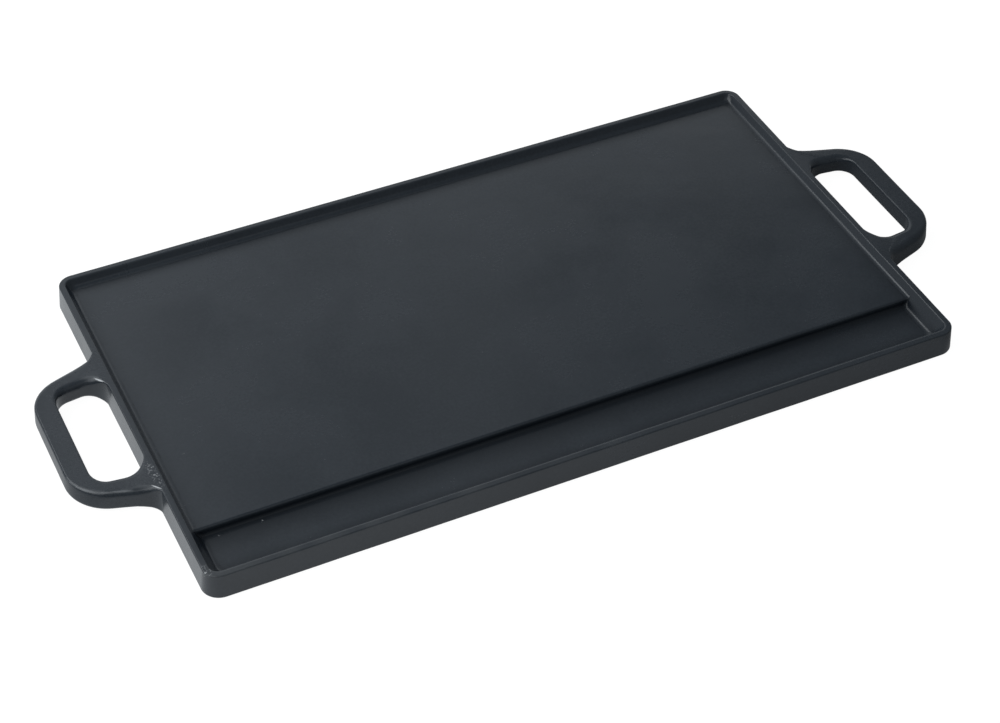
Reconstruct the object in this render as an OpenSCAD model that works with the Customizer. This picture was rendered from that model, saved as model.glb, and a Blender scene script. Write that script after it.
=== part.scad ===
// Camp griddle plate of cast iron, lying with its smooth side up.
// One casting, drawn as the sections that it is spoken of in: deck, step, trough, rims, handles and ribs.
// X runs along the plate, Y from the trough at the front to the back, Z up from what it lies on.
// The origin is under the middle of the plate. All sizes are millimetres and degrees.

/* [Plate] */
// Length of the plate at its foot, without its handles
plate_length = 425.4; // [320:0.1:560]
// Width of the plate at its foot, from front to back
plate_width = 244.9; // [180:0.1:340]
// Least radius of the plate's outer corners, seen from above
corner_radius = 9.8; // [4:0.1:24]
// Thickness of the cast floor, under the deck and under the trough
floor_thickness = 5.7; // [4:0.1:10]
// Rounding of the outer edge that the plate lies on
foot_edge = 1; // [0.4:0.1:2]

/* [Rim] */
// Height of the rim above the cooking deck
rim_height = 4.5; // [3.4:0.1:9]
// Thickness of the rim at its top, before its edges are rounded
rim_top = 3.2; // [2.4:0.1:6]
// Draft of the outer wall from upright
wall_draft = 5.5; // [0:0.5:8]
// Draft of the rim's inner face from upright
rim_draft = 22; // [10:0.5:28]
// Rounding of the rim's outer top edge
rim_edge = 0.6; // [0.3:0.1:1]
// Rounding of the rim's inner top edge
rim_inner_edge = 0.8; // [0.3:0.1:1.2]
// Radius of the fillet between the rim and the floor inside it
floor_fillet = 2.2; // [1:0.1:3]

/* [Grease trough] */
// Clear width of the trough's floor, from the front rim to the step
trough_width = 29.7; // [16:0.1:60]
// Drop from the deck to the trough's floor
trough_drop = 4.5; // [4.1:0.1:8]
// Thickness of the upright web under the step
step_thickness = 6; // [4.5:0.1:12]
// Rounding of the deck's edge over the trough
deck_edge = 1.5; // [0.6:0.1:1.9]
// Radius of the fillet at the foot of the step
step_fillet = 2.2; // [0.4:0.1:2.6]

/* [Handles] */
// How far each handle reaches out from the plate
handle_reach = 39.4; // [38:0.1:60]
// How far the handle's top lies below the rim's
handle_drop = 0.9; // [0.7:0.1:3]
// Width of the grip bar, seen from above
grip_width = 12.4; // [9:0.1:15]
// Thickness of the grip bar, top to bottom
grip_thickness = 10.6; // [7:0.1:12.5]
// Rounding of the grip's edges
grip_edge = 2.5; // [0.8:0.1:3.4]
// Straight run of the grip bar between its two bends
grip_length = 47; // [30:0.5:90]
// Inner radius of the bends between grip and arms
bend_radius = 12.4; // [7:0.1:15]
// Spread of each arm's outer side towards the plate
arm_spread = 18; // [12:0.5:26]
// Spread of each arm's side on the finger hole
hole_spread = 7; // [2:0.5:10]
// Radius of the fillet between an arm's outer side and the plate
root_fillet = 6.6; // [2:0.1:12]
// Radius of the finger hole's corners at the plate
hole_fillet = 10.3; // [3:0.1:12]

/* [Grill ribs] */
// Spacing of the ribs under the deck
rib_pitch = 12; // [9:0.5:20]
// Width of a rib where it stands on the floor
rib_root = 5.6; // [4:0.1:7.5]
// Width of a rib at its tip
rib_tip = 3.2; // [1.6:0.1:3.9]
// Bevel of a rib's tip edges
rib_edge = 0.8; // [0.2:0.1:1]
// How far the rib tips stay clear of what the plate lies on
rib_setback = 0.5; // [0.2:0.1:1.5]
// Gap left between the ribs and the rims and step around them
rib_margin = 7; // [2:0.5:20]

/* [Hidden] */
$fn = 96;

// Least thickness left where a fillet runs out on a face
run_out = 0.3;
// Least inner radius left at the foot of the rim's corners
corner_least = 0.3;
// Straight pieces in each rounded edge, fillet and bend
arc_steps = 6;

// Levels, from what the plate lies on
trough_z = floor_thickness;
deck_under_z = trough_drop;
deck_z = deck_under_z + floor_thickness;
rim_z = deck_z + rim_height;
handle_top_z = rim_z - handle_drop;
rib_height = deck_under_z - rib_setback;

// How far in from the wall's foot its outer face, its inner face and the end of its toe are at a level
function wall_in(z) = z * tan(wall_draft);
function rim_at(z) = wall_in(rim_z) + rim_top + (rim_z - z) * tan(rim_draft);
rim_at_deck = rim_at(deck_z);
rim_at_trough = rim_at(trough_z);
function toe_at(floor_z) = rim_at(floor_z + run_out + floor_fillet) + floor_fillet / cos(rim_draft);

// Corner radius, large enough for the toe inside it and rounded up to a tenth
corner_turn = max(corner_radius, ceil(10 * (toe_at(trough_z) + corner_least)) / 10);

// Places across the plate
half_length = plate_length / 2;
half_width = plate_width / 2;
corner_x = half_length - corner_turn;
corner_y = half_width - corner_turn;
step_y = -half_width + rim_at_trough + trough_width;
step_back_y = step_y + step_thickness;
step_foot_y = step_y - step_fillet;

// Handle places, measured out from the plate's end wall
bend_x = handle_reach - grip_width - bend_radius;
bend_y = grip_length / 2;

// Rib places, under the deck
rib_field_front = step_back_y + rib_margin;
rib_field_back = half_width - rim_at_deck - rib_margin;
rib_count = floor((rib_field_back - rib_field_front - rib_root) / rib_pitch) + 1;
rib_first_y = (rib_field_front + rib_field_back - (rib_count - 1) * rib_pitch) / 2;
rib_length = 2 * (half_length - rim_at_deck - rib_margin);

// Iron colours: seasoned black, a little paler on the worn grips
iron = [0.21, 0.23, 0.25];
iron_worn = [0.27, 0.28, 0.29];
iron_under = [0.16, 0.17, 0.18];

// Points along an arc about a centre
function arc(centre, radius, from, to) =
    [for (i = [0 : arc_steps]) let (a = from + (to - from) * i / arc_steps)
        centre + radius * [cos(a), sin(a)]];

// Rounded rectangle of the plate, drawn in by inset all round
module plate_outline(inset) {
    corner = corner_turn - inset;
    polygon(concat(
        arc([corner_x, corner_y], corner, 0, 90),
        arc([-corner_x, corner_y], corner, 90, 180),
        arc([-corner_x, -corner_y], corner, 180, 270),
        arc([corner_x, -corner_y], corner, 270, 360)
    ));
}

// Rim standing on a floor at floor_z: x runs inwards from the wall's foot, y is the level.
// With a toe, a fillet at its foot lies on that floor and runs out on it.
function rim_profile(floor_z, toe) =
    let (
        foot_x = wall_in(foot_edge) + foot_edge / cos(wall_draft),
        edge_x = wall_in(rim_z - rim_edge) + rim_edge / cos(wall_draft),
        inner_edge_x = rim_at(rim_z) + rim_inner_edge * (tan(rim_draft) - 1 / cos(rim_draft)),
        toe_z = floor_z + run_out + floor_fillet,
        toe_x = toe_at(floor_z)
    )
    concat(
        arc([foot_x, foot_edge], foot_edge, 270, 180 - wall_draft),
        arc([edge_x, rim_z - rim_edge], rim_edge, 180 - wall_draft, 90),
        arc([inner_edge_x, rim_z - rim_inner_edge], rim_inner_edge, 90, rim_draft),
        toe ? arc([toe_x, toe_z], floor_fillet, 180 + rim_draft, 270) : [],
        toe ? [[toe_x, floor_z]] : [],
        [[rim_at(floor_z), floor_z], [rim_at(floor_z), 0]]
    );

// Straight rim along the front, between the starts of the corners
module straight_rim(floor_z) {
    translate([-corner_x, -half_width, 0])
        rotate([90, 0, 90])
            linear_extrude(2 * corner_x) polygon(rim_profile(floor_z, true));
}

// Quarter turn of the rim at the back right corner
module corner_rim(floor_z) {
    translate([corner_x, corner_y, 0])
        rotate_extrude(angle = 90)
            translate([corner_turn, 0]) mirror([1, 0]) polygon(rim_profile(floor_z, true));
}

// Stretch of the right rim between two places across the plate
module side_run(from_y, to_y, floor_z, toe) {
    translate([half_length, to_y, 0])
        rotate([90, 0, 0])
            linear_extrude(to_y - from_y) mirror([1, 0]) polygon(rim_profile(floor_z, toe));
}

// Right rim with both its corners: one wall the whole way, thicker along the trough,
// and a toe along each floor that stops short of the step
module end_rim() {
    side_run(-corner_y, corner_y, deck_z, false);
    side_run(step_y + deck_edge, corner_y, deck_z, true);
    corner_rim(deck_z);
    side_run(-corner_y, step_y, trough_z, false);
    side_run(-corner_y, step_foot_y, trough_z, true);
    mirror([0, 1, 0]) corner_rim(trough_z);
}

// Upright web under the step: x runs back from the step's face, y is the level
function step_profile() =
    concat(
        [[0, 0], [step_thickness, 0], [step_thickness, deck_z]],
        arc([deck_edge, deck_z - deck_edge], deck_edge, 90, 180)
    );

// Fillet at the step's foot, with the floor under it and the front of the web behind it
function step_foot_profile() =
    let (top_z = trough_z + step_fillet)
    concat(
        [[-step_fillet, 0], [step_thickness / 2, 0], [step_thickness / 2, top_z]],
        arc([-step_fillet, top_z], step_fillet, 0, -90)
    );

// Section of the step drawn along the plate, out to half on both sides
module step_run(profile, half) {
    translate([-half, step_y, 0])
        rotate([90, 0, 90])
            linear_extrude(2 * half) polygon(profile);
}

// One side of half the loop, seen from above with the plate's wall on x = 0: the fillet on the wall,
// the straight arm and the bend into the grip. facing is 1 for the outer side and -1 for the finger hole.
function loop_side(spread, bend, fillet, facing) =
    let (
        away = [sin(spread), cos(spread)],
        on_arm = [bend_x, bend_y] + bend * away,
        fillet_y = on_arm.y + (facing * fillet - (fillet - on_arm.x) * away.x) / away.y,
        fillet_from = 180,
        fillet_to = facing > 0 ? 270 - spread : 90 - spread
    )
    concat(
        arc([fillet, fillet_y], fillet, fillet_from, fillet_to),
        arc([bend_x, bend_y], bend, 90 - spread, 0)
    );

function mirrored(points) = [for (i = [len(points) - 1 : -1 : 0]) [points[i].x, -points[i].y]];

// Ring of points round the bar between a place on its hole side and one on its outer side.
// On the wall the ring leans with it.
function bar_ring(hole_side, outer_side, on_wall) =
    let (
        middle = (hole_side + outer_side) / 2,
        way = (outer_side - hole_side) / norm(outer_side - hole_side),
        flat_w = norm(outer_side - hole_side) / 2 - grip_edge,
        flat_h = grip_thickness / 2 - grip_edge,
        middle_z = handle_top_z - grip_thickness / 2
    )
    [for (corner = [[1, 1, 0], [-1, 1, 90], [-1, -1, 180], [1, -1, 270]])
        for (p = arc([corner[0] * flat_w, corner[1] * flat_h], grip_edge, corner[2], corner[2] + 90))
            let (z = middle_z + p.y, lean = on_wall ? wall_in(z) : 0)
                [middle.x + p.x * way.x - lean, middle.y + p.x * way.y, z]];

// Loop handle on the right end: one bar swept from wall to wall round the finger hole
module loop_handle() {
    outer_half = loop_side(arm_spread, bend_radius + grip_width, root_fillet, 1);
    hole_half = loop_side(hole_spread, bend_radius, hole_fillet, -1);
    outer_side = concat(outer_half, mirrored(outer_half));
    hole_side = concat(hole_half, mirrored(hole_half));
    last_ring = len(outer_side) - 1;
    rings = [for (i = [0 : last_ring])
        bar_ring(hole_side[i], outer_side[i], i == 0 || i == last_ring)];
    around = len(rings[0]);
    last = last_ring * around;
    sides = [for (i = [0 : len(rings) - 2], j = [0 : around - 1])
        let (a = i * around + j, b = i * around + (j + 1) % around)
            each [[a, b, b + around], [a, b + around, a + around]]];
    caps = [[for (j = [around - 1 : -1 : 0]) j], [for (j = [0 : around - 1]) last + j]];
    translate([half_length, 0, 0])
        polyhedron([for (ring = rings) each ring], concat(sides, caps));
}

// One rib, hanging from the deck's underside, with its middle on y = 0
module rib() {
    tip_flat = rib_tip / 2 - rib_edge;
    translate([-rib_length / 2, 0, deck_under_z])
        rotate([90, 0, 90])
            linear_extrude(rib_length) {
                polygon([
                    [-rib_root / 2, 0],
                    [rib_root / 2, 0],
                    [rib_tip / 2, -rib_height + rib_edge],
                    [tip_flat, -rib_height],
                    [-tip_flat, -rib_height],
                    [-rib_tip / 2, -rib_height + rib_edge]
                ]);
            }
}

module cooking_deck() {
    color(iron)
        intersection() {
            translate([0, 0, deck_under_z]) linear_extrude(floor_thickness) plate_outline(rim_at_deck);
            translate([-half_length, step_back_y, 0]) cube([plate_length, half_width - step_back_y, rim_z]);
        }
}

module trough_step() {
    color(iron) {
        step_run(step_profile(), half_length - rim_at_deck);
        step_run(step_foot_profile(), half_length - rim_at_trough);
    }
}

module grease_trough() {
    color(iron)
        intersection() {
            linear_extrude(trough_z) plate_outline(rim_at_trough);
            translate([-half_length, -half_width, 0]) cube([plate_length, step_foot_y + half_width, rim_z]);
        }
}

module front_rim() {
    color(iron) straight_rim(trough_z);
}

module back_rim() {
    color(iron) mirror([0, 1, 0]) straight_rim(deck_z);
}

module right_rim() {
    color(iron) end_rim();
}

module left_rim() {
    color(iron) mirror([1, 0, 0]) end_rim();
}

module right_handle() {
    color(iron_worn) loop_handle();
}

module left_handle() {
    color(iron_worn) mirror([1, 0, 0]) loop_handle();
}

module grill_ribs() {
    color(iron_under)
        for (i = [0 : rib_count - 1])
            translate([0, rib_first_y + i * rib_pitch, 0]) rib();
}

cooking_deck();
trough_step();
grease_trough();
front_rim();
back_rim();
left_rim();
right_rim();
left_handle();
right_handle();
grill_ribs();
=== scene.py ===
"""Looks of the camp griddle plate: one seasoned iron casting on a white table.

Each mesh stands for one node of the part, and they meet edge to edge on flat stretches, so that the casting
shows no seam. They keep the part's outline and levels. Some edges and faces are shaped more finely.
"""

from math import cos, hypot, pi, radians, sin, tan

import bmesh
import bpy
from mathutils import Matrix, Vector, noise


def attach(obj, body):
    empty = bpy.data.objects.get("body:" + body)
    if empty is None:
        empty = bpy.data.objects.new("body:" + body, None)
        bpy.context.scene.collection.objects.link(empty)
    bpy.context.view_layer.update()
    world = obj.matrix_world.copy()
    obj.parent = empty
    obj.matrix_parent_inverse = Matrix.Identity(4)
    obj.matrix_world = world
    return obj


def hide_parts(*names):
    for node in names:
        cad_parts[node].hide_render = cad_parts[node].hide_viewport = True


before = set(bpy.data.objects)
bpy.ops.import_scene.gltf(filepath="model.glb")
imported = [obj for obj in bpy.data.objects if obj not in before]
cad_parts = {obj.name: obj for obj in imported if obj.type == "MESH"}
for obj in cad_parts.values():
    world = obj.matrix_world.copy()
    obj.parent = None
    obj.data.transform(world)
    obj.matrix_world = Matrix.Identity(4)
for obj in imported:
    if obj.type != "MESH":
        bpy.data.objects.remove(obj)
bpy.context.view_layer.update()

MM = 0.001

# Sizes of the part, in millimetres, with drafts and spreads in degrees
PLATE_LENGTH = 425.4
PLATE_WIDTH = 244.9
CORNER_RADIUS = 9.8
FLOOR_THICKNESS = 5.7
FOOT_EDGE = 1.0
RIM_HEIGHT = 4.5
RECESS_IN = 6.43
WALL_DRAFT = 5.5
RIM_EDGE = 0.6
TROUGH_EDGE = 37.95
TROUGH_DROP = 4.5
STEP_THICKNESS = 6.0
DECK_EDGE = 1.5
HANDLE_REACH = 39.4
HANDLE_DROP = 0.9
GRIP_WIDTH = 12.4
GRIP_THICKNESS = 10.6
GRIP_LENGTH = 47.0
BEND_RADIUS = 12.4
ARM_SPREAD = 18
HOLE_SPREAD = 7
ROOT_FILLET = 6.6
HOLE_FILLET = 10.3
RIB_PITCH = 12.0
RIB_ROOT = 5.6
RIB_TIP = 3.2
RIB_EDGE = 0.8
RIB_SETBACK = 0.5
RIB_MARGIN = 7.0

# Shapes fitted more closely to the photograph than in the part
CORNER_LEAST = 4.0
CREST_IN = 4.7
INNER_DRAFT = 31
FLOOR_FILLET = 3.2
RECESS_BEND = 1.4
STEP_DRAFT = 12
STEP_FILLET = 3.0

# Levels and places that follow from the sizes
HALF_LENGTH = PLATE_LENGTH / 2
HALF_WIDTH = PLATE_WIDTH / 2
CORNER_X = HALF_LENGTH - CORNER_RADIUS
CORNER_Y = HALF_WIDTH - CORNER_RADIUS
TROUGH_Z = FLOOR_THICKNESS
DECK_UNDER_Z = TROUGH_DROP
DECK_Z = DECK_UNDER_Z + FLOOR_THICKNESS
RIM_Z = DECK_Z + RIM_HEIGHT
STEP_Y = -HALF_WIDTH + TROUGH_EDGE
STEP_BACK_Y = STEP_Y + STEP_THICKNESS
INNER_LEAN = radians(INNER_DRAFT)
HALF_TURN = tan((pi / 2 - INNER_LEAN) / 2)

# Shape of each wall: draft of its outer face, and rounding of its inner top edge
END_WALL = (WALL_DRAFT, 1.1)
BACK_WALL = (WALL_DRAFT, 1.0)
FRONT_WALL = (2.5, 2.0)

# How the meshes are laid out: cell size, and rows set close to the ends of flats so that they shade flat
CELL = 3.0
SUPPORT = 0.25
SHARP_ANGLE = 38

# Seams: flat strip past the rim's toe, then a tongue that dips under the floor beside it.
# Straight rows end an overrun before the corners, where the corner rows begin
SEAM_STRIP = 0.3
SEAM_LAP = 0.2
SEAM_TONGUE = 0.6
SEAM_DIP = 0.15
SEAM_OVERRUN = 7.5

# The deck's last row lies this far behind the web under the step, where the underside drops
STEP_SHIFT = 0.05

# Steps in the bends and straights of the meshes
CORNER_STEPS = 16
EDGE_STEPS = 6
TOE_STEPS = 8
UNDER_STEPS = 4
SOLE_STEPS = 10
DECK_EDGE_STEPS = 8
ROOT_STEPS = 14
ARM_STEPS = 6
BEND_STEPS = 16
GRIP_STEPS = 8

# How far in from the wall's foot the painted shade along the rims' feet starts and ends, over which lengths
# it comes and fades, and its strength by the end rims and by the front and back rims
SHADE_FROM = 7.5
SHADE_RISE = 2.0
SHADE_TO = 19.0
SHADE_RUN = 11.0
END_SHADE = 0.3
SIDE_SHADE = 0.7

# Crests rubbed and given a painted highlight, and the painted highlight on handle edges: how far down they
# reach, over which lengths they fade, and how far the band on a handle's edge lies below its top and inside
# and outside its outer side
CREST_DEPTH = 0.9
CREST_FADE = 0.6
EDGE_DROP = 0.5
EDGE_INSIDE = 3.0
EDGE_OUTSIDE = 0.4
EDGE_RUN = 6.0


# Outlines and sections

def arc(centre, radius, start, end, steps):
    """Points along an arc, with angles in degrees."""
    turn = [radians(start + (end - start) * i / steps) for i in range(steps + 1)]
    return [(centre[0] + radius * cos(a), centre[1] + radius * sin(a)) for a in turn]


def spread(low, high, cell=CELL):
    """Values from low to high about a cell apart, with one close to each end so that flats shade flat."""
    count = max(1, round(abs(high - low) / cell))
    inner = [low + (high - low) * i / count for i in range(1, count)]
    nudge = SUPPORT if high > low else -SUPPORT
    return [low, low + nudge] + inner + [high - nudge, high]


def between(start, end, cell=CELL):
    """Points on the straight line between two points, without the ends."""
    length = hypot(end[0] - start[0], end[1] - start[1])
    shares = [s / length for s in spread(0, length, cell)][1:-1]
    return [(start[0] + (end[0] - start[0]) * s, start[1] + (end[1] - start[1]) * s) for s in shares]


def lerp_pair(a, b, share):
    """Pair that lies between two pairs, at a share of the way."""
    return (a[0] + (b[0] - a[0]) * share, a[1] + (b[1] - a[1]) * share)


def wall_in(z, draft=WALL_DRAFT):
    """How far the outer wall leans in at a level, from its foot."""
    return z * tan(radians(draft))


def toe_end(floor_z):
    """How far in from the wall's foot the fillet under the rim's inner face runs out on the floor."""
    return CREST_IN + (RIM_Z - floor_z) * tan(INNER_LEAN) + FLOOR_FILLET * HALF_TURN


def inner_face(floor_z, edge):
    """Inner top edge, flat sloping face and toe fillet of the rim, from its top down to the floor."""
    top = arc((CREST_IN - edge * HALF_TURN, RIM_Z - edge), edge, 90, INNER_DRAFT, EDGE_STEPS)
    toe_middle = (toe_end(floor_z), floor_z + FLOOR_FILLET)
    toe = arc(toe_middle, FLOOR_FILLET, 180 + INNER_DRAFT, 270, TOE_STEPS)
    face = [lerp_pair(top[-1], toe[0], share) for share in (0.1, 0.5, 0.9)]
    return top + face + toe


def seam_at(floor_z):
    """How far in from the outer face the rim piece ends, on flat floor."""
    return toe_end(floor_z) + SEAM_STRIP


def rim_section(floor_z, under_z, shape):
    """Closed section of the rim as (distance in from the wall's foot, level) pairs."""
    draft, inner_edge = shape
    upright = cos(radians(draft))
    foot_x = wall_in(FOOT_EDGE, draft) + FOOT_EDGE / upright
    outer_x = wall_in(RIM_Z - RIM_EDGE, draft) + RIM_EDGE / upright
    seam = seam_at(floor_z)
    foot = arc((foot_x, FOOT_EDGE), FOOT_EDGE, 270, 180 - draft, EDGE_STEPS)
    outer_top = arc((outer_x, RIM_Z - RIM_EDGE), RIM_EDGE, 180 - draft, 90, EDGE_STEPS)
    inner = inner_face(floor_z, inner_edge)
    section = foot + between(foot[-1], outer_top[0])
    section += outer_top + [lerp_pair(outer_top[-1], inner[0], share) for share in (0.15, 0.5, 0.85)]
    tongue = seam + SEAM_TONGUE
    section += inner + [(seam, floor_z), (seam + SEAM_LAP, floor_z)]
    section += [(tongue, floor_z - SEAM_DIP), (tongue, under_z)]
    if under_z > 0:
        bend = arc((RECESS_IN + RECESS_BEND, under_z - RECESS_BEND), RECESS_BEND, 90, 180, UNDER_STEPS)
        inner_foot = arc((RECESS_IN - FOOT_EDGE, FOOT_EDGE), FOOT_EDGE, 0, -90, UNDER_STEPS)
        return section + bend + inner_foot
    sole = FOOT_EDGE + 2 * SUPPORT
    return section + [(tongue + (sole - tongue) * i / SOLE_STEPS, 0) for i in range(1, SOLE_STEPS + 1)]


def step_profile():
    """(place across the plate, floor level) pairs over the step, from the deck down to the trough."""
    draft = radians(STEP_DRAFT)
    edge_middle = (STEP_Y + DECK_EDGE, DECK_Z - DECK_EDGE)
    edge = arc(edge_middle, DECK_EDGE, 90, 180 - STEP_DRAFT, DECK_EDGE_STEPS)
    last_y, last_z = edge[-1]
    foot_z = TROUGH_Z + STEP_FILLET * (1 - sin(draft))
    foot_y = last_y - (last_z - foot_z) * tan(draft)
    fillet_middle = (foot_y - STEP_FILLET * cos(draft), TROUGH_Z + STEP_FILLET)
    return edge + arc(fillet_middle, STEP_FILLET, -STEP_DRAFT, -90, EDGE_STEPS)


def floor_stations():
    """Places across deck, step and trough with their floor and underside levels, from back to front."""
    profile = step_profile()
    end = CORNER_Y - SEAM_OVERRUN
    foot = profile[-1][0] - SEAM_STRIP
    deck = [(y, DECK_Z, DECK_UNDER_Z) for y in spread(end, STEP_BACK_Y + STEP_SHIFT)]
    step = [(y, DECK_Z, 0) for y in spread(STEP_BACK_Y, profile[0][0])[:-1]]
    step += [(y, z, 0) for y, z in profile] + [(foot, TROUGH_Z, 0)]
    trough = [(y, TROUGH_Z, 0) for y in spread(foot, -end)]
    return deck, step, trough


# Mesh building

# Unevenness of the sand mould: length and height of its waves in millimetres, and the seed that makes it
# the same on every run
WANDER_WAVES = ((34.0, 0.07), (9.0, 0.025))
WANDER_SEED = 5
noise.seed_set(WANDER_SEED)


def cast_wander(point):
    """Small unevenness of the sand mould, the same for every piece at one place, in millimetres."""
    waves = [noise.noise_vector(Vector(point) / length) * height for length, height in WANDER_WAVES]
    return sum(waves, Vector((0, 0, 0)))


def add_mesh(name, rings, **attributes):
    """Mesh object from rings of points, each ring closed and joined to the next, with both ends capped."""
    mesh = bpy.data.meshes.new(name)
    work = bmesh.new()
    rows = []
    for ring in rings:
        rows.append([work.verts.new((Vector(p) + cast_wander(p)) * MM) for p in ring])
    around = len(rows[0])
    for low, high in zip(rows, rows[1:]):
        for j in range(around):
            k = (j + 1) % around
            work.faces.new((low[j], low[k], high[k], high[j]))
    work.faces.new(rows[0])
    work.faces.new(rows[-1])
    bmesh.ops.recalc_face_normals(work, faces=work.faces)
    work.to_mesh(mesh)
    work.free()
    mesh.shade_smooth()
    mesh.set_sharp_from_angle(angle=radians(SHARP_ANGLE))
    for key, value_at in attributes.items():
        values = [value_at(Vector(p)) for ring in rings for p in ring]
        mesh.attributes.new(key, "FLOAT", "POINT").data.foreach_set("value", values)
    piece = bpy.data.objects.new(name, mesh)
    bpy.context.collection.objects.link(piece)
    return piece


def crest_wear(p):
    """Paler tops of the rims, partly rubbing and partly painted highlight: uneven, and strongest on the
    left of the front.
    """
    height = min(max((p.z - RIM_Z + CREST_DEPTH) / CREST_FADE, 0), 1)
    share = 0.55 - 0.45 * p.x / HALF_LENGTH if p.y < -CORNER_Y else 0.35
    return height * share * (0.7 + 0.6 * noise.noise(p / 11.0))


def edge_wear(p):
    """Painted highlight on the outer top edge of a handle, strongest round its bends."""
    along = max(abs(p.y) - BEND_Y, 0)
    out = hypot(abs(p.x) - HALF_LENGTH - BEND_X, along) - BEND_RADIUS - GRIP_WIDTH
    if not -EDGE_INSIDE < out < EDGE_OUTSIDE:
        return 0.0
    band = max(1 - abs(HANDLE_TOP_Z - p.z - EDGE_DROP) / EDGE_DROP, 0)
    share = 0.35 + 0.65 * min(along / EDGE_RUN, 1)
    return band * share * (0.8 + 0.6 * noise.noise(p / 3.0))


def soot_fade(inside):
    """1 on the inner foot of a rim, falling smoothly to 0 over the floor."""
    rise = min(max((inside - SHADE_FROM) / SHADE_RISE, 0), 1)
    fall = min(max((SHADE_TO - inside) / SHADE_RUN, 0), 1)
    return min(rise, fall * fall * (3 - 2 * fall))


def corner_soot(p):
    """Painted shade where a floor meets the rims or the step, which shade it: fading out over the floor."""
    by_end = END_SHADE * soot_fade(HALF_LENGTH - abs(p.x))
    by_side = SIDE_SHADE * soot_fade(HALF_WIDTH - abs(p.y))
    below_step = min(max(1 - (STEP_Y - p.y) / SHADE_TO, 0), 1) if p.y < STEP_Y else 0
    inside = min(HALF_LENGTH - abs(p.x), HALF_WIDTH - abs(p.y))
    return max(by_end, by_side, below_step) if inside > SHADE_FROM else 0.0


def mirrored(rings):
    """The same rings on the left end."""
    return [[(-x, y, z) for x, y, z in ring] for ring in rings]


# Pieces

def along_rim(side):
    """Rings of a straight rim: side is 1 for the back and -1 for the front."""
    back = rim_section(DECK_Z, DECK_UNDER_Z, BACK_WALL)
    section = back if side > 0 else rim_section(TROUGH_Z, 0, FRONT_WALL)
    end = CORNER_X - SEAM_OVERRUN
    return [[(x, side * (HALF_WIDTH - d), z) for d, z in section] for x in spread(-end, end)]


def end_rim():
    """Rings of the right end rim, from the back rim round both corners to the front rim."""
    deck, step, trough = floor_stations()
    stations = deck + step + trough[1:]
    turn = [90 - 90 * i / CORNER_STEPS for i in range(CORNER_STEPS + 1)]
    end = CORNER_X - SEAM_OVERRUN
    rings = [[(end, HALF_WIDTH - d, z) for d, z in rim_section(DECK_Z, DECK_UNDER_Z, BACK_WALL)]]
    rings += [corner_ring(a, 1) for a in turn]
    rings += [[(HALF_LENGTH - d, y, z) for d, z in rim_section(f, u, END_WALL)] for y, f, u in stations]
    rings += [corner_ring(a, -1) for a in reversed(turn)]
    rings.append([(end, d - HALF_WIDTH, z) for d, z in rim_section(TROUGH_Z, 0, FRONT_WALL)])
    return rings


def corner_ring(angle, side):
    """Ring of the rim at an angle round a right corner: side is 1 for the back and -1 for the front."""
    floor_z, under_z, wall = (DECK_Z, DECK_UNDER_Z, BACK_WALL) if side > 0 else (TROUGH_Z, 0, FRONT_WALL)
    section = rim_section(floor_z, under_z, lerp_pair(END_WALL, wall, angle / 90))
    places = [corner_point(d, radians(angle)) + (z,) for d, z in section]
    return [(x, side * y, z) for x, y, z in places]


def corner_point(inset, angle):
    """Place on the back right corner of the plate's outline, drawn in by inset."""
    radius = max(CORNER_RADIUS - inset, CORNER_LEAST)
    middle_x = HALF_LENGTH - inset - radius
    middle_y = HALF_WIDTH - inset - radius
    return (middle_x + radius * cos(angle), middle_y + radius * sin(angle))


def floor_ring(half, y, top_z, under_z):
    """Ring round a slab at one place across the plate."""
    count = round(2 * (HALF_LENGTH - CORNER_RADIUS) / CELL)
    shares = [-1 + 2 * i / count for i in range(count + 1)]
    top = [(half * s, y, top_z) for s in shares]
    return top + [(half * s, y, under_z) for s in reversed(shares)]


def corner_floor(floor_z, under_z, side):
    """Rings of the floor between two corners, from the straight sides outwards."""
    edge = [corner_point(seam_at(floor_z), pi / 2 * i / CORNER_STEPS) for i in range(CORNER_STEPS + 1)]
    return [floor_ring(x, side * y, floor_z, under_z) for x, y in edge]


def deck_rings():
    """Rings of the deck, from the back to the step."""
    deck, _, _ = floor_stations()
    half = HALF_LENGTH - seam_at(DECK_Z)
    rings = list(reversed(corner_floor(DECK_Z, DECK_UNDER_Z, 1)))
    rings += [floor_ring(half, y, f, u) for y, f, u in deck[:-1]]
    return rings + [floor_ring(half, STEP_BACK_Y, DECK_Z, DECK_UNDER_Z)]


def step_rings():
    """Rings of the web under the step."""
    _, step, _ = floor_stations()
    return [floor_ring(HALF_LENGTH - seam_at(f), y, f, u) for y, f, u in step]


def trough_rings():
    """Rings of the trough's floor, from the step to the front."""
    _, _, trough = floor_stations()
    rings = [floor_ring(HALF_LENGTH - seam_at(f), y, f, u) for y, f, u in trough]
    return rings + corner_floor(TROUGH_Z, 0, -1)


# Handles

# Middle of the loop's bends, measured from the wall and from the plate's middle, and levels of the bar
BEND_X = HANDLE_REACH - GRIP_WIDTH - BEND_RADIUS
BEND_Y = GRIP_LENGTH / 2
HANDLE_TOP_Z = RIM_Z - HANDLE_DROP
HANDLE_UNDER_Z = HANDLE_TOP_Z - GRIP_THICKNESS

# Roots: how far the bar's top rises to the rim's crest, how far its underside drops, over which length, and
# how deep its ends sit in the wall
ROOT_PROUD = 0.01
ROOT_RISE = HANDLE_DROP + ROOT_PROUD
ROOT_DIP = 2.0
ROOT_RUN = 12.0
ROOT_SINK = 1.2

# Bar: lean of its outer face, bend of the finger hole, and roundings of its edges
GRIP_LEAN = 0.6
HOLE_BEND = 9.0
GRIP_EDGE = 1.2
ARM_EDGE = 4.0
UNDER_EDGE_OUTER = 1.8
UNDER_EDGE_HOLE = 2.2


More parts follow.
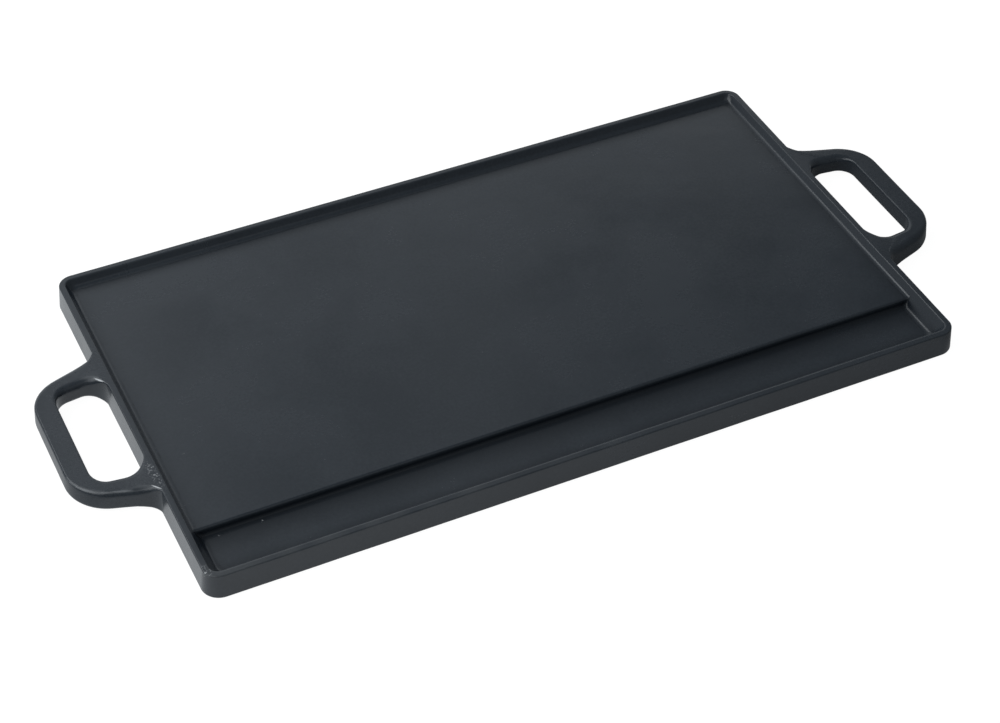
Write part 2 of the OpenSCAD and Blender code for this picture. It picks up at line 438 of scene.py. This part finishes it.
def loop_side(angle, bend, fillet, facing, tighter=0.0):
    """Half of one side of the loop as (point, way into the bar) pairs, from the wall to the grip's middle.

    The wall is on x = 0. facing is 1 for the outer side and -1 for the finger hole. tighter takes some
    of the bend's radius away and keeps the arm and the grip where they are.
    """
    lean = radians(angle)
    bend -= tighter
    bend_x = BEND_X + tighter
    bend_y = BEND_Y + tighter * (1 - sin(lean)) / cos(lean)
    arm_x = bend_x + bend * sin(lean)
    arm_y = bend_y + bend * cos(lean)
    fillet_y = arm_y + (facing * fillet - (fillet - arm_x) * sin(lean)) / cos(lean)
    to = 270 - angle if facing > 0 else 90 - angle
    root = [(p, ((p[0] - fillet) / fillet, (p[1] - fillet_y) / fillet))
            for p in arc((fillet, fillet_y), fillet, 180, to, ROOT_STEPS)]
    turn = [(p, ((bend_x - p[0]) * facing / bend, (bend_y - p[1]) * facing / bend))
            for p in arc((bend_x, bend_y), bend, 90 - angle, 0, BEND_STEPS)]
    arm_ends = (root[-1][0], turn[0][0])
    arm = [(lerp_pair(*arm_ends, i / ARM_STEPS), turn[0][1]) for i in range(1, ARM_STEPS)]
    grip_x, grip_y = turn[-1][0]
    grip = [((grip_x, grip_y * (1 - i / GRIP_STEPS)), turn[-1][1]) for i in range(1, GRIP_STEPS + 1)]
    return root + arm + turn + grip


def root_share(x):
    """1 on the wall, falling smoothly to 0 at the end of the root."""
    s = min(max(1 - x / ROOT_RUN, 0), 1)
    return s * s * (3 - 2 * s)


def top_edge(inward):
    """Rounding of the bar's top edge: crisp along the grip and soft along the arms."""
    return GRIP_EDGE + (ARM_EDGE - GRIP_EDGE) * inward[1] ** 2


def bar_ring(hole, outer):
    """Ring round the bar between a place on its hole side and one on its outer side, with rounded edges."""
    (hp, hn), (op, on) = hole, outer
    ring = []
    corners = (
        (hp, hn, top_edge(hn), 0, 1, 90), (op, on, top_edge(on), GRIP_LEAN, 1, 0),
        (op, on, UNDER_EDGE_OUTER, 0, -1, 90), (hp, hn, UNDER_EDGE_HOLE, 0, -1, 0),
    )
    for place, inward, radius, lean, up, start in corners:
        radius = RIM_EDGE + (radius - RIM_EDGE) * (1 - root_share(2 * place[0]))
        for i in range(EDGE_STEPS + 1):
            a = radians(90 * i / EDGE_STEPS)
            a = a if start == 0 else pi / 2 - a
            inset = radius * (1 - sin(a)) + lean
            drop = radius * (1 - cos(a))
            x = place[0] + inward[0] * inset
            y = place[1] + inward[1] * inset
            lift = ROOT_RISE * root_share(x) if up > 0 else -ROOT_DIP * root_share(x)
            level = HANDLE_TOP_Z if up > 0 else HANDLE_UNDER_Z
            z = level + lift - up * drop
            ring.append((x - wall_in(z) * root_share(x), y, z))
    return subdivided(ring)


def subdivided(ring):
    """The ring with points added on its four flats, which lie after every rounded edge."""
    steps = EDGE_STEPS + 1
    out = []
    for i, point in enumerate(ring):
        out.append(point)
        if i % steps == steps - 1:
            after = ring[(i + 1) % len(ring)]
            for share in (0.06, 0.35, 0.65, 0.94):
                out.append(tuple(a + (b - a) * share for a, b in zip(point, after)))
    return out


def handle_rings():
    """Rings of the right handle, swept from wall to wall round the finger hole."""
    hole = loop_side(HOLE_SPREAD, BEND_RADIUS, HOLE_FILLET, -1, BEND_RADIUS - HOLE_BEND)
    outer = loop_side(ARM_SPREAD, BEND_RADIUS + GRIP_WIDTH, ROOT_FILLET, 1)
    half = [bar_ring(h, o) for h, o in zip(hole, outer)]
    sunk = [(x - ROOT_SINK, y, z) for x, y, z in half[0]]
    half = [sunk] + half
    other = [[(x, -y, z) for x, y, z in ring] for ring in reversed(half[:-1])]
    return [[(x + HALF_LENGTH, y, z) for x, y, z in ring] for ring in half + other]


# Ribs of the grill side

# A rib's root: how far its foot spreads and sinks into the floor, then how far its sides stand out past the
# root's width at shares of its height
RIB_FOOT = (0.9, 0.4)
RIB_FLARE = ((0.5, 0.12), (0.0, 0.35))

# A rib's tip and ends: lean of the tip in degrees, length of an end and of a cell, height left at the end's
# last ring, and width of the end's thin edge, both as shares
RIB_DRAFT = 8
RIB_END = 4.0
RIB_CELL = 8.0
RIB_END_HEIGHT = 0.03
RIB_END_WIDTH = 0.55


def rib_section(width_share, height_share):
    """Section of a rib hanging from the deck's underside, with a rounded tip and spreading roots."""
    height = (DECK_UNDER_Z - RIB_SETBACK) * height_share
    root = RIB_ROOT / 2 * width_share
    tip = RIB_TIP / 2 * width_share
    edge = min(RIB_EDGE, height * 0.6)
    low = DECK_UNDER_Z - height
    right = [(root + RIB_FOOT[0], DECK_UNDER_Z + RIB_FOOT[1])]
    right += [(root + out, DECK_UNDER_Z - share * height) for out, share in RIB_FLARE]
    right += arc((tip - edge, low + edge), edge, -RIB_DRAFT, -90, EDGE_STEPS)
    return right + [(-y, z) for y, z in reversed(right)]


def rib_rings(y_middle, half):
    """Rings of one rib, rounded off at both ends."""
    start = half - RIB_END
    turns = [radians(t) for t in range(0, 91, 10)]
    ends = [(start + RIB_END * sin(t), max(cos(t), RIB_END_HEIGHT)) for t in turns]
    right = [(x, 1) for x in spread(-start, start, RIB_CELL)][1:-1] + ends
    left = [(-x, share) for x, share in reversed(ends)]
    rings = []
    for x, share in left + right:
        width_share = RIB_END_WIDTH + (1 - RIB_END_WIDTH) * share
        rings.append([(x, y_middle + y, z) for y, z in rib_section(width_share, share)])
    return rings


def add_ribs(name):
    """All the ribs as one piece."""
    front = STEP_BACK_Y + RIB_MARGIN
    back = HALF_WIDTH - RECESS_IN - RIB_MARGIN
    count = int((back - front - RIB_ROOT) // RIB_PITCH) + 1
    first = (front + back - (count - 1) * RIB_PITCH) / 2
    half = HALF_LENGTH - RECESS_IN - RIB_MARGIN
    ribs = [add_mesh(f"{name}_{i}", rib_rings(first + i * RIB_PITCH, half)) for i in range(count)]
    with bpy.context.temp_override(active_object=ribs[0], selected_editable_objects=ribs):
        bpy.ops.object.join()
    ribs[0].name = name
    return ribs[0]


# Materials

class Graph:
    """Short way to add and join shader nodes."""

    def __init__(self, tree):
        """Start with an empty node tree."""
        self.tree = tree
        tree.nodes.clear()

    def add(self, kind, inputs=None, **settings):
        """New node, with each input linked to a socket or set to a value."""
        node = self.tree.nodes.new(kind)
        for key, value in settings.items():
            setattr(node, key, value)
        for key, value in (inputs or {}).items():
            if isinstance(value, bpy.types.NodeSocket):
                self.tree.links.new(value, node.inputs[key])
            else:
                node.inputs[key].default_value = value
        return node

    def math(self, operation, a, b):
        """Result of a sum, product or the like of two values."""
        return self.add("ShaderNodeMath", {0: a, 1: b}, operation=operation).outputs[0]

    def noise(self, place, scale, detail, roughness=0.5):
        """Noise between about 0 and 1."""
        inputs = {"Vector": place, "Scale": scale, "Detail": detail, "Roughness": roughness}
        return self.add("ShaderNodeTexNoise", inputs).outputs["Fac"]

    def remap(self, value, low, high, to_low, to_high):
        """Value moved smoothly from one range into another and kept inside it."""
        inputs = {"Value": value, "From Min": low, "From Max": high, "To Min": to_low, "To Max": to_high}
        return self.add("ShaderNodeMapRange", inputs, interpolation_type="SMOOTHSTEP").outputs[0]

    def blend(self, share, a, b):
        """Mix of two colours."""
        node = self.add("ShaderNodeMix", data_type="RGBA")
        for socket, value in (("Factor_Float", share), ("A_Color", a), ("B_Color", b)):
            target = next(s for s in node.inputs if s.identifier == socket)
            if isinstance(value, bpy.types.NodeSocket):
                self.tree.links.new(value, target)
            else:
                target.default_value = value
        return next(s for s in node.outputs if s.identifier == "Result_Color")


# Colours of painted shade, of rubbed edges with painted highlight, of metal speckles with painted glint,
# and of painted highlight streaks
PAINTED_SHADE_COLOR = (0.006, 0.008, 0.011, 1)
CREST_RUB_AND_HIGHLIGHT_COLOR = (0.075, 0.08, 0.085, 1)
EDGE_HIGHLIGHT_COLOR = (0.4, 0.41, 0.42, 1)
SPECKLE_GLINT_COLOR = (0.45, 0.46, 0.47, 1)
STREAK_HIGHLIGHT_COLOR = (0.6, 0.61, 0.62, 1)

# Places rubbed by use, whose metal speckles are partly painted glints: middle and half sizes in
# millimetres, and turn from the front in degrees
RUBBED_GLINT_PLACES = (
    ((-210.9, -43, 14.5), (3.2, 14, 4), 8),
    ((-209.5, -115, 14.3), (3.5, 5, 3), 0),
    ((-193.8, -87.5, 5.8), (1, 1, 1), 0),
    ((-171.4, -87.6, 5.8), (1, 1, 1), 0),
    ((-192.1, -31.4, 10.2), (1, 1, 1), 0),
)

# Painted highlight streaks on the handle's roots, in the same form
HIGHLIGHT_STREAKS = (
    ((-212.6, -52.3, 14.2), (0.5, 4.4, 4), 37),
    ((-214.4, 34.4, 13.9), (0.5, 4.4, 4), 35),
)


def spot_mask(g, place, centre, size, turn):
    """1 in the middle of a rubbed place or a painted highlight streak, falling to 0 at its edge."""
    inputs = {
        "Vector": place,
        "Location": [v * MM for v in centre],
        "Rotation": (0, 0, radians(turn)),
        "Scale": [v * MM for v in size],
    }
    around = g.add("ShaderNodeMapping", inputs, vector_type="TEXTURE").outputs[0]
    return g.add("ShaderNodeTexGradient", {"Vector": around}, gradient_type="SPHERICAL").outputs["Fac"]


def iron_relief(g, place, grain, depth):
    """Normal of the sand-cast skin: fine grain over pebbles, with pits in places."""
    pebble = g.noise(place, 190, 2)
    cells = g.add("ShaderNodeTexVoronoi", {"Vector": place, "Scale": 230, "Randomness": 1.0})
    pit = g.remap(cells.outputs["Distance"], 0.08, 0.3, 1, 0)
    pit = g.math("MULTIPLY", pit, g.remap(g.noise(place, 60, 2), 0.5, 0.64, 0, 1))
    height = g.math("ADD", g.math("MULTIPLY", grain, 0.45), g.math("MULTIPLY", pebble, 0.55))
    height = g.math("SUBTRACT", height, g.math("MULTIPLY", pit, 0.15))
    return g.add("ShaderNodeBump", {"Strength": depth, "Distance": 0.0004, "Height": height}).outputs[0]


def speckles_and_highlights(g, place, color):
    """The colour with metal speckles, partly painted glints, in the rubbed places, and painted highlight
    streaks.
    """
    # Metal speckles in the rubbed places, brightened as painted glints
    glint_speckle = g.remap(g.noise(place, 900, 2, 0.7), 0.55, 0.67, 0, 0.9)
    for centre, size, turn in RUBBED_GLINT_PLACES:
        rubbed = g.remap(spot_mask(g, place, centre, size, turn), 0, 0.6, 0, 1)
        color = g.blend(g.math("MULTIPLY", glint_speckle, rubbed), color, SPECKLE_GLINT_COLOR)
    # Painted highlights on the edge fillets of the left handle's roots
    for centre, size, turn in HIGHLIGHT_STREAKS:
        streak_shine = g.remap(spot_mask(g, place, centre, size, turn), 0.1, 0.6, 0, 1)
        color = g.blend(streak_shine, color, STREAK_HIGHLIGHT_COLOR)
    return color


def cast_iron(name, dark, pale, rub_and_highlight_color, smooth, rough, grain_depth):
    """Seasoned cast iron: baked oil over a sand-cast skin, with blotches, painted shade and rubbed edges
    with painted highlight.
    """
    material = bpy.data.materials.new(name)
    material.use_nodes = True
    g = Graph(material.node_tree)
    place = g.add("ShaderNodeTexCoord").outputs["Object"]
    grain = g.noise(place, 620, 3, 0.6)
    blotch = g.noise(place, 16, 4, 0.55)
    soot = g.add("ShaderNodeAttribute", attribute_name="soot").outputs["Fac"]
    wear = g.add("ShaderNodeAttribute", attribute_name="wear").outputs["Fac"]

    tone = g.math("ADD", g.math("MULTIPLY", blotch, 0.6), g.math("MULTIPLY", grain, 0.4))
    color = g.blend(g.remap(tone, 0.36, 0.64, 0, 1), dark, pale)
    # Painted shade: darker where the rims and the step shade the floor
    color = g.blend(g.math("MULTIPLY", soot, 0.75), color, PAINTED_SHADE_COLOR)
    # Paler colour: rubbing with painted highlight on the crests, and painted highlight on the handle's edge
    color = g.blend(g.remap(wear, 0, 1.2, 0, 0.6), color, rub_and_highlight_color)

    gloss = g.math("ADD", blotch, g.math("MULTIPLY", grain, 0.25))
    shader = g.add("ShaderNodeBsdfPrincipled", {
        "Base Color": speckles_and_highlights(g, place, color),
        "Roughness": g.remap(gloss, 0.45, 0.8, smooth, rough),
        # Painted shade: less reflection where the rims and the step shade the floor
        "Specular IOR Level": g.remap(soot, 0, 1, 0.5, 0.25),
        "Normal": iron_relief(g, place, grain, grain_depth),
    })
    output = g.add("ShaderNodeOutputMaterial")
    g.tree.links.new(shader.outputs[0], output.inputs["Surface"])
    return material


# Assembly

def place_piece(piece, node, material):
    """Give a piece its material and let it stand for a node of the part."""
    piece.data.materials.append(material)
    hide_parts(node)
    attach(piece, "root")


seasoned = cast_iron(
    "seasoned_iron", dark=(0.020, 0.026, 0.034, 1), pale=(0.027, 0.034, 0.043, 1),
    rub_and_highlight_color=CREST_RUB_AND_HIGHLIGHT_COLOR, smooth=0.2, rough=0.28, grain_depth=0.09,
)
worn = cast_iron(
    "worn_iron", dark=(0.020, 0.026, 0.034, 1), pale=(0.029, 0.036, 0.045, 1),
    rub_and_highlight_color=EDGE_HIGHLIGHT_COLOR, smooth=0.22, rough=0.32, grain_depth=0.15,
)
grill = cast_iron(
    "grill_iron", dark=(0.012, 0.014, 0.018, 1), pale=(0.018, 0.021, 0.026, 1),
    rub_and_highlight_color=CREST_RUB_AND_HIGHLIGHT_COLOR, smooth=0.42, rough=0.58, grain_depth=0.4,
)

floors = (
    ("deck_floor", deck_rings(), "cooking_deck"),
    ("step_web", step_rings(), "trough_step"),
    ("trough_floor", trough_rings(), "grease_trough"),
)
for name, rings, node in floors:
    # The floors carry painted shade by the rims and under the step
    place_piece(add_mesh(name, rings, soot=corner_soot), node, seasoned)

rims = (
    ("rim_front", along_rim(-1), "front_rim"),
    ("rim_back", along_rim(1), "back_rim"),
    ("rim_right", end_rim(), "right_rim"),
    ("rim_left", mirrored(end_rim()), "left_rim"),
)
for name, rings, node in rims:
    # The rims carry painted shade by their feet, and rubbing with painted highlight along their crests
    place_piece(add_mesh(name, rings, wear=crest_wear, soot=corner_soot), node, seasoned)

place_piece(add_mesh("grip_right", handle_rings()), "right_handle", worn)
# Painted highlight along the left handle's outer top edge, round its bends
left_grip = add_mesh("grip_left", mirrored(handle_rings()), wear=edge_wear)
place_piece(left_grip, "left_handle", worn)
place_piece(add_ribs("ribs_under"), "grill_ribs", grill)


# Table, light and camera

# Table: half size and gap under the plate in metres, share of its light that is its own glow, and the level
# of that glow for the camera
TABLE_HALF = 4.0
TABLE_GAP = 0.0003
TABLE_GLOW = 0.82
TABLE_SEEN = 1.2

# Painted shade in the table's reflection, darker to the right and by the handles: stretches across the
# plate in metres, and the levels at their ends
TABLE_PAINTED_SHADE = (
    (-0.32, 0.32, 0.98, 0.33),
    (-0.258, -0.243, 0.62, 1),
    (0.205, 0.225, 1, 0.35),
)

# Colours of the light
DAYLIGHT = (0.93, 0.97, 1.0)
TABLE_COLOR = (0.86, 0.86, 0.86, 1)
SEEN_COLOR = (0.98, 0.98, 0.98, 1)


def add_table():
    """White table that keeps the plate's shadow. Its reflection carries painted shade, darker to the right
    and by the handles.
    """
    mesh = bpy.data.meshes.new("table")
    corners = [(x * TABLE_HALF, y * TABLE_HALF, 0) for x, y in ((-1, -1), (1, -1), (1, 1), (-1, 1))]
    mesh.from_pydata(corners, [], [(0, 1, 2, 3)])
    table = bpy.data.objects.new("table", mesh)
    table.location.z = -TABLE_GAP
    bpy.context.collection.objects.link(table)
    material = bpy.data.materials.new("table_white")
    material.use_nodes = True
    g = Graph(material.node_tree)
    path = g.add("ShaderNodeLightPath")
    seen = g.math("MAXIMUM", path.outputs["Is Camera Ray"], path.outputs["Is Glossy Ray"])
    seen = g.math("MAXIMUM", seen, path.outputs["Is Transmission Ray"])
    matte = g.add("ShaderNodeBsdfDiffuse", {"Color": TABLE_COLOR})
    place = g.add("ShaderNodeTexCoord").outputs["Object"]
    across = g.add("ShaderNodeSeparateXYZ", {0: place}).outputs["X"]
    level = g.math("MULTIPLY", path.outputs["Is Camera Ray"], TABLE_SEEN)
    # Painted shade in the table's reflected glow
    shaded_glow = g.remap(across, *TABLE_PAINTED_SHADE[0])
    for stretch in TABLE_PAINTED_SHADE[1:]:
        shaded_glow = g.math("MULTIPLY", shaded_glow, g.remap(across, *stretch))
    level = g.math("MAXIMUM", shaded_glow, level)
    tint = g.blend(path.outputs["Is Camera Ray"], (*DAYLIGHT, 1), SEEN_COLOR)
    white = g.add("ShaderNodeEmission", {"Color": tint, "Strength": level})
    share = g.math("MULTIPLY", seen, TABLE_GLOW)
    mix = g.add("ShaderNodeMixShader", {0: share, 1: matte.outputs[0], 2: white.outputs[0]})
    output = g.add("ShaderNodeOutputMaterial")
    g.tree.links.new(mix.outputs[0], output.inputs["Surface"])
    mesh.materials.append(material)


def add_world(color, strength):
    """Even room light, with a white background for the camera."""
    world = bpy.data.worlds.new("room")
    bpy.context.scene.world = world
    world.use_nodes = True
    g = Graph(world.node_tree)
    path = g.add("ShaderNodeLightPath")
    room = g.add("ShaderNodeBackground", {"Color": color, "Strength": strength})
    white = g.add("ShaderNodeBackground", {"Color": (1, 1, 1, 1), "Strength": 1.0})
    seen = path.outputs["Is Camera Ray"]
    mix = g.add("ShaderNodeMixShader", {0: seen, 1: room.outputs[0], 2: white.outputs[0]})
    output = g.add("ShaderNodeOutputWorld")
    g.tree.links.new(mix.outputs[0], output.inputs["Surface"])


def add_softbox(name, azimuth, elevation, distance, width, height, radiance):
    """Rectangular lamp facing the plate. azimuth turns from the back towards the right, in degrees."""
    lamp = bpy.data.lights.new(name, "AREA")
    lamp.shape = "RECTANGLE"
    lamp.size = width
    lamp.size_y = height
    lamp.energy = radiance * pi * width * height
    lamp.color = DAYLIGHT
    turn = radians(azimuth)
    rise = radians(elevation)
    away = Vector((sin(turn) * cos(rise), cos(turn) * cos(rise), sin(rise)))
    holder = bpy.data.objects.new(name, lamp)
    holder.location = away * distance
    holder.rotation_euler = away.to_track_quat("Z", "Y").to_euler()
    bpy.context.collection.objects.link(holder)


def add_camera(azimuth, elevation, roll, distance, side, rise, focal):
    """Camera looking at the plate, moved along its own right and up by side and rise."""
    back = Vector((sin(azimuth) * cos(elevation), -cos(azimuth) * cos(elevation), sin(elevation)))
    right = (-back).cross(Vector((0, 0, 1))).normalized()
    up = right.cross(-back)
    right, up = right * cos(roll) + up * sin(roll), up * cos(roll) - right * sin(roll)
    data = bpy.data.cameras.new("camera")
    data.sensor_width = 36.0
    data.lens = focal
    holder = bpy.data.objects.new("camera", data)
    turn = Matrix((right, up, back)).transposed().to_4x4()
    holder.matrix_world = Matrix.Translation(back * distance - right * side - up * rise) @ turn
    bpy.context.collection.objects.link(holder)
    bpy.context.scene.camera = holder


# Soft boxes: azimuth and elevation in degrees, distance, width and height in metres, and radiance
SOFT_BOXES = {
    "window_left": (-95, 46, 1.4, 1.5, 0.75, 2.1),
    "window_high": (-52, 55, 1.3, 0.95, 0.85, 1.15),
    "panel_left": (-35, 46, 1.5, 0.6, 0.42, 1.9),
    "panel_top": (-10, 46, 1.5, 0.6, 0.42, 0.4),
    "panel_right": (31, 44, 1.5, 0.4, 0.3, 0.14),
    "panel_top_right": (12, 46, 1.5, 0.6, 0.42, 0.27),
    "panel_back_left": (-25, 30, 1.5, 0.68, 0.45, 0.45),
    "panel_back": (10, 28, 1.5, 1.65, 0.5, 0.62),
    "strip_back": (4, 12, 1.6, 1.7, 0.45, 0.35),
    "panel_front": (180, 50, 1.5, 0.9, 0.6, 0.27),
    "strip_right": (52, 12, 1.6, 0.7, 0.5, 0.4),
    "strip_left": (-50, 10, 1.6, 0.8, 0.5, 0.3),
}

add_table()
add_world((0.88, 0.95, 1.0, 1), 0.18)
for name, box in SOFT_BOXES.items():
    add_softbox(name, *box)
add_camera(
    azimuth=radians(-25.5625), elevation=radians(42.4736), roll=radians(0.3612),
    distance=1.231589, side=0.000583, rise=0.020028, focal=81.73,
)
bpy.context.scene.view_settings.view_transform = "Standard"
